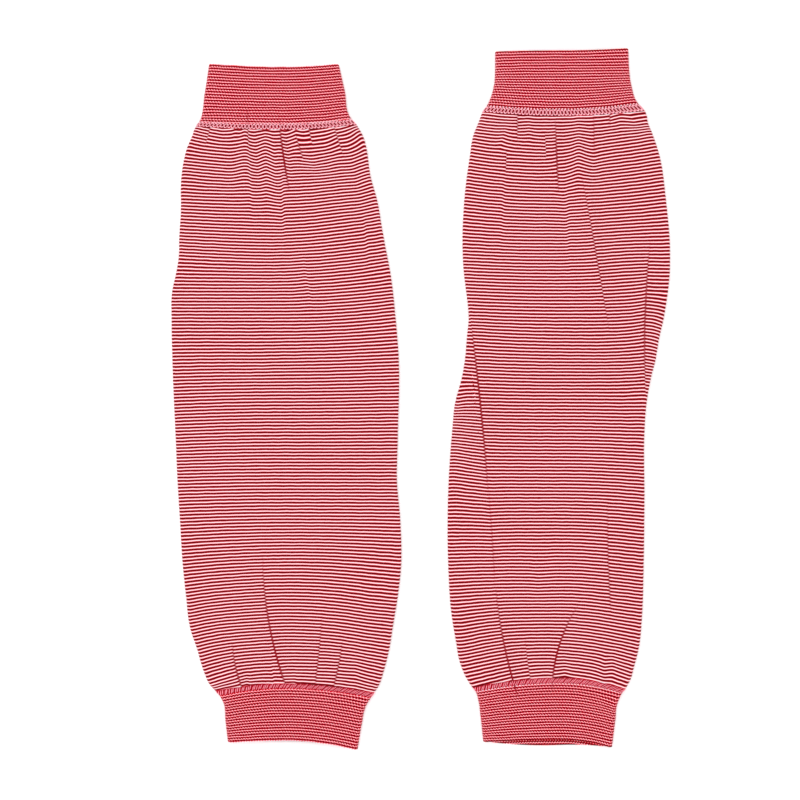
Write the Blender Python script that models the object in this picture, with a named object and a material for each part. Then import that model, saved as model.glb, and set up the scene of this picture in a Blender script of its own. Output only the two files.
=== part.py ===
"""A pair of knitted sport arm sleeves, laid flat side by side on a surface.

Each sleeve is a tube knitted round, with no side seam: a ribbed upper cuff, an upper linking row, a wide
jersey body gathered at both ends, a finer lower linking row and a ribbed lower cuff. Every piece is a wall
of cloth whose two layers lie on each other, open at both ends. The origin is the middle of the pair, on the
surface. +X is to the right, +Y runs up the sleeves towards the upper cuffs, +Z is up. Sizes are in mm.
"""
import math
from collections import namedtuple

import bmesh
import bpy

MM = 0.001

# Thickness of the cloth, and the air between things that touch.
JERSEY_WALL = 1.2
RIB_WALL = 1.5
LINKING_WALL = 1.3
LAYER_GAP = 0.4
SEAM_GAP = 0.3

# Ribs of the cuffs and loops of the linking rows, one for each wale.
WALE_PITCH = 1.7
RIB_RISE = 0.4
LOOP_RISE = 0.35

# How freely the cloth lies.
INNER_SHARE = 0.5
SEAM_PINCH_LENGTH = 6.0
SEAM_PINCH = 0.45
MOUTH_GAPE = 0.9
MOUTH_GAPE_LENGTH = 14.0

# Powers that shape the cloth: how a row bends away from the middle line, how folds die out near a side, how a
# crease fades towards both its ends, and how the open mouth and the slipped under layer fade to the sides.
ROW_BEND = 2
SIDE_FADE = 8
CREASE_FADE = 0.8
MOUTH_FADE = 4
BACK_FADE = 2

# The mean colour of each knit in linear light, and the dull finish of cotton yarn.
JERSEY_RED = (0.62, 0.19, 0.22)
RIB_RED = (0.62, 0.11, 0.14)
LOOP_PINK = (0.66, 0.16, 0.20)
KNIT_ROUGHNESS = 0.9

# Edges sharper than this, in degrees, are shaded sharp, such as the rim of a wall's end.
SHARP_EDGE = 50

# How finely each wall is divided. Rings lie closer together where the cloth is gathered.
BODY_UPPER_POINTS = 54
UNDER_POINTS = 10
INNER_UPPER_POINTS = 17
SIDE_POINTS = 4
GATHER_RINGS = (2.0, 5.0, 9.0, 14.0, 20.0, 28.0, 38.0)
BODY_RING_STEP = 12.0
INNER_RING_STEP = 16.0
CUFF_RING_STEP = 10.0

# A section is one knitted row. course is its height on the sleeve's middle line, and the other columns are
# the points where it turns round the left and the right side.
Section = namedtuple("Section", "course left_x left_y right_x right_y")

# A fold is a soft ridge that runs along the sleeve. It passes through top_x, middle_x and bottom_x, stands
# height above the cloth beside it, and falls away over left_reach on one side and right_reach on the other.
Fold = namedtuple("Fold", "top_y bottom_y top_x middle_x bottom_x height left_reach right_reach")

# The courses where one piece ends and the next begins: the mouth of the upper cuff, both edges of the upper
# linking row, both edges of the lower linking row, and the mouth of the lower cuff.
Cuts = namedtuple("Cuts", "top upper_cuff upper_band lower_band lower_cuff bottom")

# back_reach is how far the under layer of the lower cuff shows past the upper layer at the mouth.
Sleeve = namedtuple("Sleeve", "name middle_x cuts back_reach sections upper_gathers creases lower_gathers")

# The points of one ring: shares of the width along the upper and the under layer, from -1 on the left to 1
# on the right, and the angles of those that turn round a side.
Division = namedtuple("Division", "upper under side")

LEFT_SECTIONS = (
    Section(194.0, -123.5, 196.0, -47.5, 196.0),
    Section(178.0, -126.0, 179.5, -44.0, 180.5),
    Section(161.0, -129.5, 162.0, -40.0, 164.0),
    Section(157.5, -131.5, 159.5, -37.0, 160.5),
    Section(151.5, -133.5, 154.0, -33.5, 154.5),
    Section(144.5, -136.5, 147.0, -31.5, 148.0),
    Section(137.0, -138.5, 139.0, -30.5, 142.0),
    Section(125.0, -140.0, 126.5, -29.0, 131.0),
    Section(110.5, -140.0, 112.0, -25.0, 116.5),
    Section(93.0, -141.0, 94.5, -22.0, 99.0),
    Section(80.0, -141.5, 81.5, -19.5, 85.5),
    Section(72.5, -143.0, 73.0, -18.0, 78.0),
    Section(64.0, -145.0, 64.0, -16.5, 68.5),
    Section(46.0, -145.5, 46.0, -14.5, 50.0),
    Section(23.0, -145.0, 22.0, -12.5, 25.0),
    Section(-24.0, -143.0, -25.5, -13.0, -23.5),
    Section(-47.5, -142.0, -48.5, -13.5, -47.5),
    Section(-71.0, -140.5, -72.5, -11.5, -71.5),
    Section(-94.0, -139.0, -97.0, -11.0, -97.0),
    Section(-111.5, -137.0, -116.0, -13.0, -116.0),
    Section(-129.5, -134.5, -135.0, -16.0, -134.5),
    Section(-141.0, -130.5, -147.0, -18.0, -147.0),
    Section(-152.5, -127.0, -159.0, -21.0, -159.0),
    Section(-161.5, -123.0, -168.0, -24.0, -168.0),
    Section(-166.5, -120.0, -171.0, -26.5, -172.0),
    Section(-169.5, -117.5, -174.0, -28.5, -175.0),
    Section(-174.5, -115.0, -178.5, -31.5, -180.0),
    Section(-185.0, -114.0, -188.0, -34.0, -190.5),
    Section(-199.5, -112.5, -201.0, -36.5, -205.5),
)

RIGHT_SECTIONS = (
    Section(203.5, 44.0, 203.0, 122.0, 205.0),
    Section(192.5, 44.0, 192.0, 122.5, 193.0),
    Section(181.0, 43.0, 182.0, 124.0, 183.0),
    Section(169.5, 39.0, 171.5, 128.0, 173.0),
    Section(165.5, 36.5, 168.0, 132.0, 168.5),
    Section(159.5, 34.5, 162.5, 133.5, 162.0),
    Section(151.5, 31.5, 155.5, 136.0, 156.0),
    Section(137.0, 29.0, 141.0, 140.5, 142.0),
    Section(113.5, 26.0, 117.0, 144.0, 117.5),
    Section(84.0, 25.0, 85.5, 146.5, 85.0),
    Section(69.5, 26.0, 71.0, 146.0, 69.5),
    Section(58.0, 27.5, 59.5, 144.5, 57.5),
    Section(46.0, 28.5, 47.5, 142.5, 46.0),
    Section(34.5, 27.5, 36.5, 140.0, 35.0),
    Section(23.0, 26.5, 24.5, 138.0, 23.0),
    Section(11.0, 24.5, 12.5, 135.0, 11.0),
    Section(-3.5, 20.5, -2.5, 132.5, -4.5),
    Section(-18.0, 19.0, -17.0, 131.5, -19.5),
    Section(-56.0, 16.5, -55.5, 131.5, -58.5),
    Section(-94.0, 16.5, -95.5, 131.0, -98.0),
    Section(-123.5, 18.5, -126.5, 130.0, -128.5),
    Section(-138.0, 21.0, -142.0, 128.5, -144.5),
    Section(-150.0, 23.5, -155.0, 125.5, -157.0),
    Section(-158.5, 27.5, -164.5, 123.0, -165.5),
    Section(-163.0, 30.5, -169.0, 120.5, -170.0),
    Section(-166.5, 32.5, -171.5, 118.5, -172.5),
    Section(-171.5, 34.0, -176.0, 116.0, -178.0),
    Section(-183.0, 35.5, -186.5, 114.5, -188.0),
    Section(-199.0, 37.0, -200.5, 112.5, -204.0),
)

LEFT_SLEEVE = Sleeve(
    name="left",
    middle_x=-79.0,
    cuts=Cuts(194.0, 161.0, 157.5, -166.5, -169.5, -199.5),
    back_reach=0.6,
    sections=LEFT_SECTIONS,
    upper_gathers=(
        Fold(158.0, 140.0, -120.5, -121.0, -122.0, 0.9, 4.0, 4.0),
        Fold(158.0, 148.0, -111.0, -111.0, -111.5, 0.7, 3.0, 3.0),
        Fold(158.0, 108.0, -101.0, -100.5, -97.5, 1.7, 6.5, 2.6),
        Fold(158.0, 114.0, -90.0, -91.0, -89.0, 0.9, 4.0, 4.0),
        Fold(157.0, 118.0, -82.0, -80.0, -75.0, 1.8, 5.0, 2.5),
        Fold(158.0, 120.0, -71.5, -71.0, -68.0, 1.4, 4.0, 3.0),
        Fold(158.0, 145.0, -64.5, -64.0, -62.0, 0.9, 3.0, 2.6),
        Fold(158.0, 140.0, -51.5, -48.0, -44.0, 1.6, 4.0, 3.0),
        Fold(158.0, 96.0, -43.0, -36.0, -30.5, 1.0, 5.0, 4.0),
    ),
    creases=(
        Fold(120.0, 90.0, -82.5, -80.0, -78.0, 0.8, 6.0, 4.0),
        Fold(86.0, 46.0, -69.5, -66.0, -60.0, 0.7, 8.0, 5.0),
        Fold(82.0, 60.0, -138.0, -139.0, -141.0, 0.6, 3.0, 5.0),
        Fold(-80.0, -112.0, -106.0, -105.5, -105.5, 0.5, 6.0, 4.0),
    ),
    lower_gathers=(
        Fold(-144.0, -167.0, -110.0, -107.5, -104.5, 1.3, 5.0, 2.6),
        Fold(-100.0, -167.0, -92.5, -87.5, -80.5, 1.8, 6.0, 2.6),
        Fold(-155.0, -167.0, -71.0, -71.0, -71.0, 0.7, 3.0, 3.0),
        Fold(-125.0, -167.0, -57.5, -59.5, -62.0, 1.2, 2.6, 5.0),
        Fold(-139.0, -167.0, -45.0, -48.5, -51.5, 1.5, 2.6, 5.0),
        Fold(-150.0, -170.0, -33.0, -35.0, -37.0, 0.8, 3.0, 4.0),
    ),
)

RIGHT_SLEEVE = Sleeve(
    name="right",
    middle_x=82.0,
    cuts=Cuts(203.5, 169.5, 165.5, -163.0, -166.5, -199.0),
    back_reach=3.5,
    sections=RIGHT_SECTIONS,
    upper_gathers=(
        Fold(167.0, 146.0, 45.0, 43.0, 41.0, 0.8, 4.0, 4.0),
        Fold(167.0, 148.0, 55.5, 56.5, 56.5, 1.5, 4.5, 2.6),
        Fold(166.0, 142.0, 64.5, 64.5, 65.0, 0.7, 4.0, 4.0),
        Fold(166.0, 138.0, 72.5, 73.5, 74.5, 1.1, 2.6, 3.5),
        Fold(166.0, 120.0, 79.0, 80.5, 82.0, 1.6, 4.0, 2.6),
        Fold(166.0, 112.0, 92.5, 93.0, 89.0, 1.3, 4.0, 4.0),
        Fold(166.0, 140.0, 102.0, 102.5, 103.0, 0.8, 3.0, 3.0),
        Fold(167.0, 152.0, 111.0, 112.0, 113.5, 1.3, 3.0, 3.0),
        Fold(168.0, 150.0, 121.0, 123.0, 126.0, 1.5, 5.0, 3.5),
    ),
    creases=(
        Fold(150.0, 96.0, 51.0, 48.5, 46.5, 0.9, 6.0, 4.0),
        Fold(148.0, 38.0, 94.5, 102.5, 111.5, 1.6, 6.0, 2.6),
        Fold(76.0, 44.0, 135.0, 132.0, 132.0, 1.7, 5.0, 2.4),
        Fold(42.0, -2.0, 132.5, 134.0, 131.5, 0.6, 5.0, 2.6),
        Fold(52.0, -40.0, 28.5, 34.5, 40.5, 1.4, 2.6, 6.0),
        Fold(28.0, -6.0, 26.0, 24.0, 23.5, 0.6, 2.6, 4.0),
        Fold(-34.0, -108.0, 40.0, 42.0, 44.0, 0.5, 6.0, 4.0),
        Fold(-48.0, -126.0, 110.0, 110.0, 112.5, 0.5, 4.0, 6.0),
    ),
    lower_gathers=(
        Fold(-150.0, -164.0, 40.0, 42.0, 44.0, 0.7, 4.0, 3.0),
        Fold(-100.0, -164.0, 43.5, 47.5, 55.5, 2.0, 6.0, 2.6),
        Fold(-138.0, -163.0, 61.0, 63.0, 65.5, 0.9, 3.0, 4.0),
        Fold(-120.0, -163.0, 93.0, 82.0, 78.0, 1.8, 2.6, 5.0),
        Fold(-145.0, -163.0, 108.0, 106.0, 104.5, 1.1, 3.0, 4.0),
    ),
)


def section_at(sections, course):
    """The section at any course, on a smooth curve through the table's rows."""
    last = len(sections) - 1
    i = 0
    while i < last - 1 and sections[i + 1].course > course:
        i += 1

    def step(k):
        return sections[k + 1].course - sections[k].course

    def slope(k, column):
        return (sections[k + 1][column] - sections[k][column]) / step(k)

    def tangent(k, column):
        if k == 0:
            return slope(0, column)
        if k == last:
            return slope(last - 1, column)
        before = step(k - 1)
        after = step(k)
        return (slope(k - 1, column) * after + slope(k, column) * before) / (before + after)

    t = (course - sections[i].course) / step(i)
    values = [course]
    for column in range(1, 5):
        start = sections[i][column]
        end = sections[i + 1][column]
        leave = tangent(i, column) * step(i)
        arrive = tangent(i + 1, column) * step(i)
        values.append(
            start * (1 + 2 * t) * (1 - t) ** 2
            + leave * t * (1 - t) ** 2
            + end * t * t * (3 - 2 * t)
            + arrive * t * t * (t - 1)
        )
    return Section(*values)


def row_y(sleeve, section, x):
    """Where the knitted row lies at x. It is flat on the middle line and bends towards each side."""
    if x < sleeve.middle_x:
        share = (sleeve.middle_x - x) / (sleeve.middle_x - section.left_x)
        return section.course + (section.left_y - section.course) * share**ROW_BEND
    share = (x - sleeve.middle_x) / (section.right_x - sleeve.middle_x)
    return section.course + (section.right_y - section.course) * share**ROW_BEND


def fold_line(fold, t):
    """The x of a fold's crest, t being 0 at its top and 1 at its bottom."""
    top = fold.top_x * (1 - t) * (1 - 2 * t)
    middle = fold.middle_x * 4 * t * (1 - t)
    bottom = fold.bottom_x * t * (2 * t - 1)
    return top + middle + bottom


def fade_down(t):
    return math.cos(math.pi * t / 2) ** 2


def fade_up(t):
    return math.sin(math.pi * t / 2) ** 2


def fade_both(t):
    return math.sin(math.pi * t) ** CREASE_FADE


def pinch(distance):
    """Folds are held low where the linking row grips them."""
    return SEAM_PINCH + (1 - SEAM_PINCH) * min(1.0, max(0.0, distance) / SEAM_PINCH_LENGTH)


def fold_height(sleeve, x, y, course):
    """How far the folds lift the upper layer at a point."""
    height = 0.0
    kinds = (
        (sleeve.upper_gathers, fade_down),
        (sleeve.creases, fade_both),
        (sleeve.lower_gathers, fade_up),
    )
    for folds, fade in kinds:
        for fold in folds:
            t = (fold.top_y - y) / (fold.top_y - fold.bottom_y)
            if fade is fade_down:
                t = max(0.0, t)
            if fade is fade_up:
                t = min(1.0, t)
            if t < 0 or t > 1:
                continue
            across = x - fold_line(fold, t)
            reach = fold.left_reach if across < 0 else fold.right_reach
            height += fold.height * fade(t) * math.exp(-((across / reach) ** 2))
    from_seam = min(sleeve.cuts.upper_band - course, course - sleeve.cuts.lower_band)
    return height * pinch(from_seam)


def mouth_lift(sleeve, share, course):
    """The upper layer of a cuff stands a little open at its mouth."""
    from_mouth = min(sleeve.cuts.top - course, course - sleeve.cuts.bottom)
    return MOUTH_GAPE * (1 - abs(share) ** MOUTH_FADE) * math.exp(-from_mouth / MOUTH_GAPE_LENGTH)


def back_shift(sleeve, course):
    """How far the under layer slips down past the upper one, near the lower mouth."""
    from_mouth = max(0.0, course - sleeve.cuts.bottom)
    return sleeve.back_reach * math.exp(-from_mouth / MOUTH_GAPE_LENGTH)


def shares(count):
    """count points from -1, the left side, to 1, the right side."""
    return [-1 + 2 * i / (count - 1) for i in range(count)]


def side_angles(count):
    """The angles of the points that turn a ring round its right side, from the top to the bottom."""
    return [math.pi / 2 - math.pi * (i + 1) / (count + 1) for i in range(count)]


INNER_DIVISION = Division(shares(INNER_UPPER_POINTS), shares(UNDER_POINTS), side_angles(1))


def ring(sleeve, course, inset, height, division, lift):
    """One closed loop round the tube as (turn, point) pairs.

    inset is how far the loop lies inside the wall's outer side, and height how tall the outer wall is there.
    turn runs 0 to 1 along the upper layer, to 2 down the right side, to 3 back along the under layer and to
    4 up the left side. lift(share, x, y, course) raises the upper layer.
    """
    section = section_at(sleeve.sections, course)
    radius = height / 2
    left = section.left_x + radius
    right = section.right_x - radius
    back = back_shift(sleeve, course)
    sides = len(division.side) + 1
    points = []
    for share in division.upper:
        x = left + (right - left) * (share + 1) / 2
        y = row_y(sleeve, section, x)
        z = height - inset + lift(share, x, y, course)
        points.append(((share + 1) / 2, (x, y, z)))
    for i, angle in enumerate(division.side):
        x = right + (radius - inset) * math.cos(angle)
        z = radius + (radius - inset) * math.sin(angle)
        points.append((1 + (i + 1) / sides, (x, section.right_y, z)))
    for share in reversed(division.under):
        x = left + (right - left) * (share + 1) / 2
        y = row_y(sleeve, section, x) - back * (1 - abs(share) ** BACK_FADE)
        points.append((2 + (1 - share) / 2, (x, y, inset)))
    for i, angle in enumerate(reversed(division.side)):
        x = left - (radius - inset) * math.cos(angle)
        z = radius + (radius - inset) * math.sin(angle)
        points.append((3 + (i + 1) / sides, (x, section.left_y, z)))
    return points


def add_ring(bm, points):
    """Makes a ring's vertices, in metres."""
    return [(turn, bm.verts.new([value * MM for value in point])) for turn, point in points]


def join_even(bm, upper, lower):
    """Quads between two rings with the same number of points."""
    count = len(upper)
    for i in range(count):
        j = (i + 1) % count
        bm.faces.new((upper[i][1], lower[i][1], lower[j][1], upper[j][1]))


def join_uneven(bm, first, second):
    """Triangles between two rings whose numbers of points differ, in step with their turns."""
    i = 0
    j = 0
    while i < len(first) or j < len(second):
        next_first = first[i + 1][0] if i + 1 < len(first) else 4 + first[0][0]
        next_second = second[j + 1][0] if j + 1 < len(second) else 4 + second[0][0]
        here = first[i % len(first)][1]
        there = second[j % len(second)][1]
        if j == len(second) or (i < len(first) and next_first <= next_second):
            bm.faces.new((here, there, first[(i + 1) % len(first)][1]))
            i += 1
        else:
            bm.faces.new((here, there, second[(j + 1) % len(second)][1]))
            j += 1


def make_wall(name, outer_rings, inner_rings, colour):
    """A closed wall from its outer and inner rings, both listed from the top end to the bottom end."""
    bm = bmesh.new()
    outer = [add_ring(bm, points) for points in outer_rings]
    inner = [add_ring(bm, points) for points in inner_rings]
    for upper, lower in zip(outer, outer[1:]):
        join_even(bm, upper, lower)
    for upper, lower in zip(inner, inner[1:]):
        join_even(bm, lower, upper)
    join_uneven(bm, inner[0], outer[0])
    join_uneven(bm, outer[-1], inner[-1])
    bmesh.ops.recalc_face_normals(bm, faces=bm.faces)
    mesh = bpy.data.meshes.new(name)
    bm.to_mesh(mesh)
    bm.free()
    mesh.shade_smooth()
    mesh.set_sharp_from_angle(angle=math.radians(SHARP_EDGE))
    piece = bpy.data.objects.new(name, mesh)
    bpy.context.collection.objects.link(piece)
    mesh.materials.append(knit_material(name + "_knit", colour))
    return piece


def knit_material(name, colour):
    material = bpy.data.materials.new(name)
    material.use_nodes = True
    shader = material.node_tree.nodes["Principled BSDF"]
    shader.inputs["Base Color"].default_value = (*colour, 1.0)
    shader.inputs["Roughness"].default_value = KNIT_ROUGHNESS
    shader.inputs["Metallic"].default_value = 0.0
    return material


def evenly(start, end, step):
    """Courses from start down to end, no more than about a step apart."""
    count = max(1, round((start - end) / step))
    return [start + (end - start) * i / count for i in range(count + 1)]


def make_body(sleeve):
    """The striped jersey tube. Its folds lift the upper layer, and its underside lies flat."""
    top = sleeve.cuts.upper_band - SEAM_GAP / 2
    bottom = sleeve.cuts.lower_band + SEAM_GAP / 2
    height = 2 * JERSEY_WALL + LAYER_GAP
    division = Division(shares(BODY_UPPER_POINTS), shares(UNDER_POINTS), side_angles(SIDE_POINTS))

    def outer_lift(share, x, y, course):
        return fold_height(sleeve, x, y, course) * (1 - abs(share) ** SIDE_FADE)

    def inner_lift(share, x, y, course):
        return INNER_SHARE * outer_lift(share, x, y, course)

    upper_rings = [top] + [top - reach for reach in GATHER_RINGS]
    lower_rings = [bottom + reach for reach in reversed(GATHER_RINGS)] + [bottom]
    middle_rings = evenly(upper_rings[-1], lower_rings[0], BODY_RING_STEP)[1:-1]
    outer = [
        ring(sleeve, course, 0.0, height, division, outer_lift)
        for course in upper_rings + middle_rings + lower_rings
    ]
    inner = [
        ring(sleeve, course, JERSEY_WALL, height, INNER_DIVISION, inner_lift)
        for course in evenly(top, bottom, INNER_RING_STEP)
    ]
    return make_wall(sleeve.name + "_body", outer, inner, JERSEY_RED)


def make_ribbed(name, sleeve, start, end, wall, rise, colour):
    """A tube of ribs, or of upright loops. Each stands between two grooves on the upper layer."""
    height = 2 * wall + LAYER_GAP
    section = section_at(sleeve.sections, (start + end) / 2)
    wales = round((section.right_x - section.left_x) / WALE_PITCH)
    division = Division(shares(2 * wales + 1), shares(UNDER_POINTS), side_angles(SIDE_POINTS))

    def inner_lift(share, x, y, course):
        return mouth_lift(sleeve, share, course)

    def outer_lift(share, x, y, course):
        on_crest = round((share + 1) * wales) % 2 == 1
        return mouth_lift(sleeve, share, course) + (rise / 2 if on_crest else -rise / 2)

    courses = evenly(start, end, CUFF_RING_STEP)
    outer = [ring(sleeve, course, 0.0, height, division, outer_lift) for course in courses]
    inner = [ring(sleeve, course, wall, height, INNER_DIVISION, inner_lift) for course in courses]
    return make_wall(name, outer, inner, colour)


def make_sleeve(sleeve):
    """The five pieces of one sleeve, a seam gap apart, from the upper mouth to the lower one."""
    cuts = sleeve.cuts
    gap = SEAM_GAP / 2
    name = sleeve.name
    make_ribbed(name + "_upper_cuff", sleeve, cuts.top, cuts.upper_cuff + gap, RIB_WALL, RIB_RISE, RIB_RED)
    start = cuts.upper_cuff - gap
    end = cuts.upper_band + gap
    make_ribbed(name + "_upper_band", sleeve, start, end, LINKING_WALL, LOOP_RISE, LOOP_PINK)
    make_body(sleeve)
    start = cuts.lower_band - gap
    end = cuts.lower_cuff + gap
    make_ribbed(name + "_lower_band", sleeve, start, end, LINKING_WALL, LOOP_RISE, LOOP_PINK)
    make_ribbed(name + "_lower_cuff", sleeve, cuts.lower_cuff - gap, cuts.bottom, RIB_WALL, RIB_RISE, RIB_RED)


for old in list(bpy.data.objects):
    bpy.data.objects.remove(old, do_unlink=True)
make_sleeve(LEFT_SLEEVE)
make_sleeve(RIGHT_SLEEVE)
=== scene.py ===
"""The looks of a pair of knitted sport arm sleeves, laid flat side by side on a pale surface.

Each sleeve is knitted round as one tube: a striped jersey body, gathered at both ends into a ribbed cuff by
a row of linking stitches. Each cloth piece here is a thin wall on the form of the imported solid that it
replaces, with its finer creases and ribs, and the linking rows also have their loops of yarn. Tables and
sizes are in mm; +X is to the right, +Y runs up the sleeves and +Z is up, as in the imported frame.
"""
import math
from collections import namedtuple

import bmesh
import bpy
import mathutils
import numpy as np
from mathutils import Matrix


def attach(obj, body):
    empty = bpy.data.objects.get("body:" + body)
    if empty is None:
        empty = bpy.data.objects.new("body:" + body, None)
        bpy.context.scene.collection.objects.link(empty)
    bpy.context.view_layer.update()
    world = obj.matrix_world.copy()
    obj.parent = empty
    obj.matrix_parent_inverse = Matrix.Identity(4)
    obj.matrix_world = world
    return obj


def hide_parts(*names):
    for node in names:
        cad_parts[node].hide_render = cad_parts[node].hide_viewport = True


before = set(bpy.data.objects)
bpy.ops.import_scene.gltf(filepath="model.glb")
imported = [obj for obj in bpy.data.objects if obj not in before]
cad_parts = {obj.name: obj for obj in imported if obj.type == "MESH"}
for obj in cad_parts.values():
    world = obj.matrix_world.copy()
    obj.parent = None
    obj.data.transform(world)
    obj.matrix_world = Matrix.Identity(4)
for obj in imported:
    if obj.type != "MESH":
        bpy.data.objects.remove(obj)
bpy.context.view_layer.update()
MM = 0.001


# ---- Jersey bodies -----------------------------------------------------------
# The two wide tubes of fine cotton jersey, knitted round in stripes of two red and two white courses. Each
# lies flat, its front on its back, and the linking rows gather its ends into soft folds that run on down
# the cloth. Folds also drag the knitted rows up or down, which the stripes show best.

# A section is one knitted row: course is its height on the sleeve's middle line, and the other columns are
# the points where it turns round the left and the right side.
Section = namedtuple("Section", "course left_x left_y right_x right_y")

# A fold is a soft ridge along the sleeve. It passes through top_x, middle_x and bottom_x, stands height
# above the cloth beside it, and falls away over left_reach on one side and right_reach on the other.
Fold = namedtuple("Fold", "top_y bottom_y top_x middle_x bottom_x height left_reach right_reach")

# A drag is a line along which the rows are pulled out of place. It is strongest at peak, a share of its
# length from the top. slip is how far the rows are raised on the line itself, and step how much higher they
# lie just right of it than just left. Both die away over reach. Without a step the rows bend in a soft
# wave, and a step without shade is soft too. With shade it is a lap: the rows are cut along the line, and
# shade is how deep its groove is pressed and how strong a painted shadow lies in the tight of the fold.
Drag = namedtuple(
    "Drag", "top_y bottom_y top_x middle_x bottom_x peak slip reach step shade", defaults=(0.0, 0.0)
)

# The courses where one piece ends and the next begins: the mouth of the upper cuff, both edges of the upper
# linking row, both edges of the lower linking row, and the mouth of the lower cuff.
Cuts = namedtuple("Cuts", "top upper_cuff upper_band lower_band lower_cuff bottom")

# back_reach is how far the under layer of the lower cuff shows past the upper layer at the mouth.
Sleeve = namedtuple(
    "Sleeve", "name middle_x cuts back_reach sections upper_gathers creases lower_gathers drags"
)

LEFT_SECTIONS = (
    Section(194.0, -123.5, 196.0, -47.5, 196.0),
    Section(178.0, -126.0, 179.5, -44.0, 180.5),
    Section(161.0, -129.5, 162.0, -40.0, 164.0),
    Section(157.5, -131.5, 159.5, -37.0, 160.5),
    Section(151.5, -133.5, 154.0, -33.5, 154.5),
    Section(144.5, -136.5, 147.0, -31.5, 148.0),
    Section(137.0, -138.5, 139.0, -30.5, 142.0),
    Section(125.0, -140.0, 126.5, -29.0, 131.0),
    Section(110.5, -140.0, 112.0, -25.0, 116.5),
    Section(93.0, -141.0, 94.5, -22.0, 99.0),
    Section(80.0, -141.5, 81.5, -19.5, 85.5),
    Section(72.5, -143.0, 73.0, -18.0, 78.0),
    Section(64.0, -145.0, 64.0, -16.5, 68.5),
    Section(46.0, -145.5, 46.0, -14.5, 50.0),
    Section(23.0, -145.0, 22.0, -12.5, 25.0),
    Section(-24.0, -143.0, -25.5, -13.0, -23.5),
    Section(-47.5, -142.0, -48.5, -13.5, -47.5),
    Section(-71.0, -140.5, -72.5, -11.5, -71.5),
    Section(-94.0, -139.0, -97.0, -11.0, -97.0),
    Section(-111.5, -137.0, -116.0, -13.0, -116.0),
    Section(-129.5, -134.5, -135.0, -16.0, -134.5),
    Section(-141.0, -130.5, -147.0, -18.0, -147.0),
    Section(-152.5, -127.0, -159.0, -21.0, -159.0),
    Section(-161.5, -123.0, -168.0, -24.0, -168.0),
    Section(-166.5, -120.0, -171.0, -26.5, -172.0),
    Section(-169.5, -117.5, -174.0, -28.5, -175.0),
    Section(-174.5, -115.0, -178.5, -31.5, -180.0),
    Section(-185.0, -114.0, -188.0, -34.0, -190.5),
    Section(-199.5, -112.5, -201.0, -36.5, -205.5),
)

RIGHT_SECTIONS = (
    Section(203.5, 44.0, 203.0, 122.0, 205.0),
    Section(192.5, 44.0, 192.0, 122.5, 193.0),
    Section(181.0, 43.0, 182.0, 124.0, 183.0),
    Section(169.5, 39.0, 171.5, 128.0, 173.0),
    Section(165.5, 36.5, 168.0, 132.0, 168.5),
    Section(159.5, 34.5, 162.5, 133.5, 162.0),
    Section(151.5, 31.5, 155.5, 136.0, 156.0),
    Section(137.0, 29.0, 141.0, 140.5, 142.0),
    Section(113.5, 26.0, 117.0, 144.0, 117.5),
    Section(84.0, 25.0, 85.5, 146.5, 85.0),
    Section(69.5, 26.0, 71.0, 146.0, 69.5),
    Section(58.0, 27.5, 59.5, 144.5, 57.5),
    Section(46.0, 28.5, 47.5, 142.5, 46.0),
    Section(34.5, 27.5, 36.5, 140.0, 35.0),
    Section(23.0, 26.5, 24.5, 138.0, 23.0),
    Section(11.0, 24.5, 12.5, 135.0, 11.0),
    Section(-3.5, 20.5, -2.5, 132.5, -4.5),
    Section(-18.0, 19.0, -17.0, 131.5, -19.5),
    Section(-56.0, 16.5, -55.5, 131.5, -58.5),
    Section(-94.0, 16.5, -95.5, 131.0, -98.0),
    Section(-123.5, 18.5, -126.5, 130.0, -128.5),
    Section(-138.0, 21.0, -142.0, 128.5, -144.5),
    Section(-150.0, 23.5, -155.0, 125.5, -157.0),
    Section(-158.5, 27.5, -164.5, 123.0, -165.5),
    Section(-163.0, 30.5, -169.0, 120.5, -170.0),
    Section(-166.5, 32.5, -171.5, 118.5, -172.5),
    Section(-171.5, 34.0, -176.0, 116.0, -178.0),
    Section(-183.0, 35.5, -186.5, 114.5, -188.0),
    Section(-199.0, 37.0, -200.5, 112.5, -204.0),
)

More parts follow.
